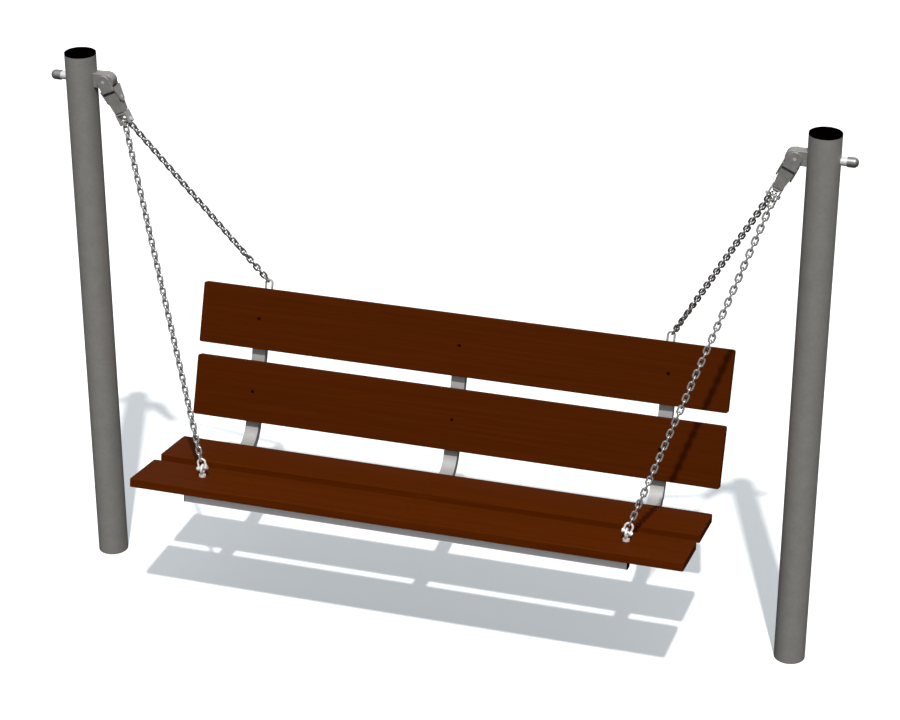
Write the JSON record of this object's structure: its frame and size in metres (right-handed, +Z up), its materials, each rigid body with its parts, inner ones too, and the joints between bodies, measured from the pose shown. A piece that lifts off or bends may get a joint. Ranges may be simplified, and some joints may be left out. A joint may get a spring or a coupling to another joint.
{
  "type": "glider swing",
  "caption": "Bench swing for a family playground: slatted seat and back hung by taut chains from cross-jointed hangers on two round posts.",
  "frame": {"origin": "on the ground, midway between the posts, below the line through the hangers", "axes": "+X along the bench towards its right post seen from the front, +Y from the seat's front to its back, +Z up"},
  "size_m": [2.76, 0.8162, 1.95],
  "materials": {
    "post_steel": "weathered galvanised tube, matt grey",
    "black_plastic": "moulded black plastic",
    "hanger_steel": "galvanised steel, dull",
    "clevis_steel": "zinc plated, satin",
    "bush_bronze": "sintered bronze",
    "pin_steel": "ground stainless pin",
    "zinc_fastener": "zinc plated, satin",
    "dark_fastener": "blackened steel bolt heads",
    "chain_steel": "bright galvanised chain",
    "shackle_steel": "bright galvanised forging",
    "bar_steel": "galvanised rectangular tube",
    "rail_steel": "galvanised square tube",
    "seat_plank_wood": "dark red-brown stained hardwood, closed pores",
    "back_plank_wood": "dark red-brown stained hardwood, closed pores"
  },
  "bodies": {
    "frame": {"post_left": "post_steel", "post_cap_left": "black_plastic", "hanger_lug_left": "hanger_steel", "lug_bush_left": "bush_bronze", "clamp_rod_left": "zinc_fastener", "clamp_spacer_left": "zinc_fastener", "cap_nut_left": "zinc_fastener", "post_right": "post_steel", "post_cap_right": "black_plastic", "hanger_lug_right": "hanger_steel", "lug_bush_right": "bush_bronze", "clamp_rod_right": "zinc_fastener", "clamp_spacer_right": "zinc_fastener", "cap_nut_right": "zinc_fastener"},
    "left_yoke": {"yoke_left": "hanger_steel", "upper_pin_left": "pin_steel", "lower_pin_left": "pin_steel"},
    "right_yoke": {"yoke_right": "hanger_steel", "upper_pin_right": "pin_steel", "lower_pin_right": "pin_steel"},
    "left_block": {"swivel_block_left": "hanger_steel", "block_bush_left": "bush_bronze", "swivel_stud_left": "pin_steel"},
    "right_block": {"swivel_block_right": "hanger_steel", "block_bush_right": "bush_bronze", "swivel_stud_right": "pin_steel"},
    "bench": {"clevis_left": "clevis_steel", "clevis_bolt_left": "zinc_fastener", "clevis_nut_left": "zinc_fastener", "chain_front_left": "chain_steel", "chain_rear_left": "chain_steel", "seat_shackle_left": "shackle_steel", "shackle_pin_left": "zinc_fastener", "seat_eye_left": "shackle_steel", "eye_nut_left": "zinc_fastener", "back_staple_left": "bar_steel", "clevis_right": "clevis_steel", "clevis_bolt_right": "zinc_fastener", "clevis_nut_right": "zinc_fastener", "chain_front_right": "chain_steel", "chain_rear_right": "chain_steel", "seat_shackle_right": "shackle_steel", "shackle_pin_right": "zinc_fastener", "seat_eye_right": "shackle_steel", "eye_nut_right": "zinc_fastener", "back_staple_right": "bar_steel", "support_bar_left": "bar_steel", "support_bar_middle": "bar_steel", "support_bar_right": "bar_steel", "front_rail": "rail_steel", "rail_end_plugs": "black_plastic", "seat_plank_front": "seat_plank_wood", "seat_plank_rear": "seat_plank_wood", "back_plank_lower": "back_plank_wood", "back_plank_upper": "back_plank_wood", "back_bolts": "dark_fastener", "back_nuts": "zinc_fastener", "seat_screws": "zinc_fastener"}
  },
  "joints": [
    {"name": "bench_swing", "type": "hinge", "parent": "frame", "child": "bench", "pos_m": [0, 0, 1.79706], "axis": [1, 0, 0], "range_deg": [-20, 20]},
    {"name": "left_yoke_tilt", "type": "hinge", "parent": "frame", "child": "left_yoke", "pos_m": [-1.181, 0, 1.8605], "axis": [0, -1, 0], "range_deg": [0, 1.4]},
    {"name": "left_block_turn", "type": "hinge", "parent": "left_yoke", "child": "left_block", "pos_m": [-1.15142, 0, 1.79706], "axis": [0.9063, 0, 0.4226], "range_deg": [-18.2, 18.2]},
    {"name": "right_yoke_tilt", "type": "hinge", "parent": "frame", "child": "right_yoke", "pos_m": [1.181, 0, 1.8605], "axis": [0, 1, 0], "range_deg": [0, 1.4]},
    {"name": "right_block_turn", "type": "hinge", "parent": "right_yoke", "child": "right_block", "pos_m": [1.15142, 0, 1.79706], "axis": [0.9063, 0, -0.4226], "range_deg": [-18.2, 18.2]}
  ],
  "couplings": [
    {"joint": "left_block_turn", "follows": "bench_swing", "ratio": 0.9063},
    {"joint": "right_block_turn", "follows": "bench_swing", "ratio": 0.9063}
  ]
}
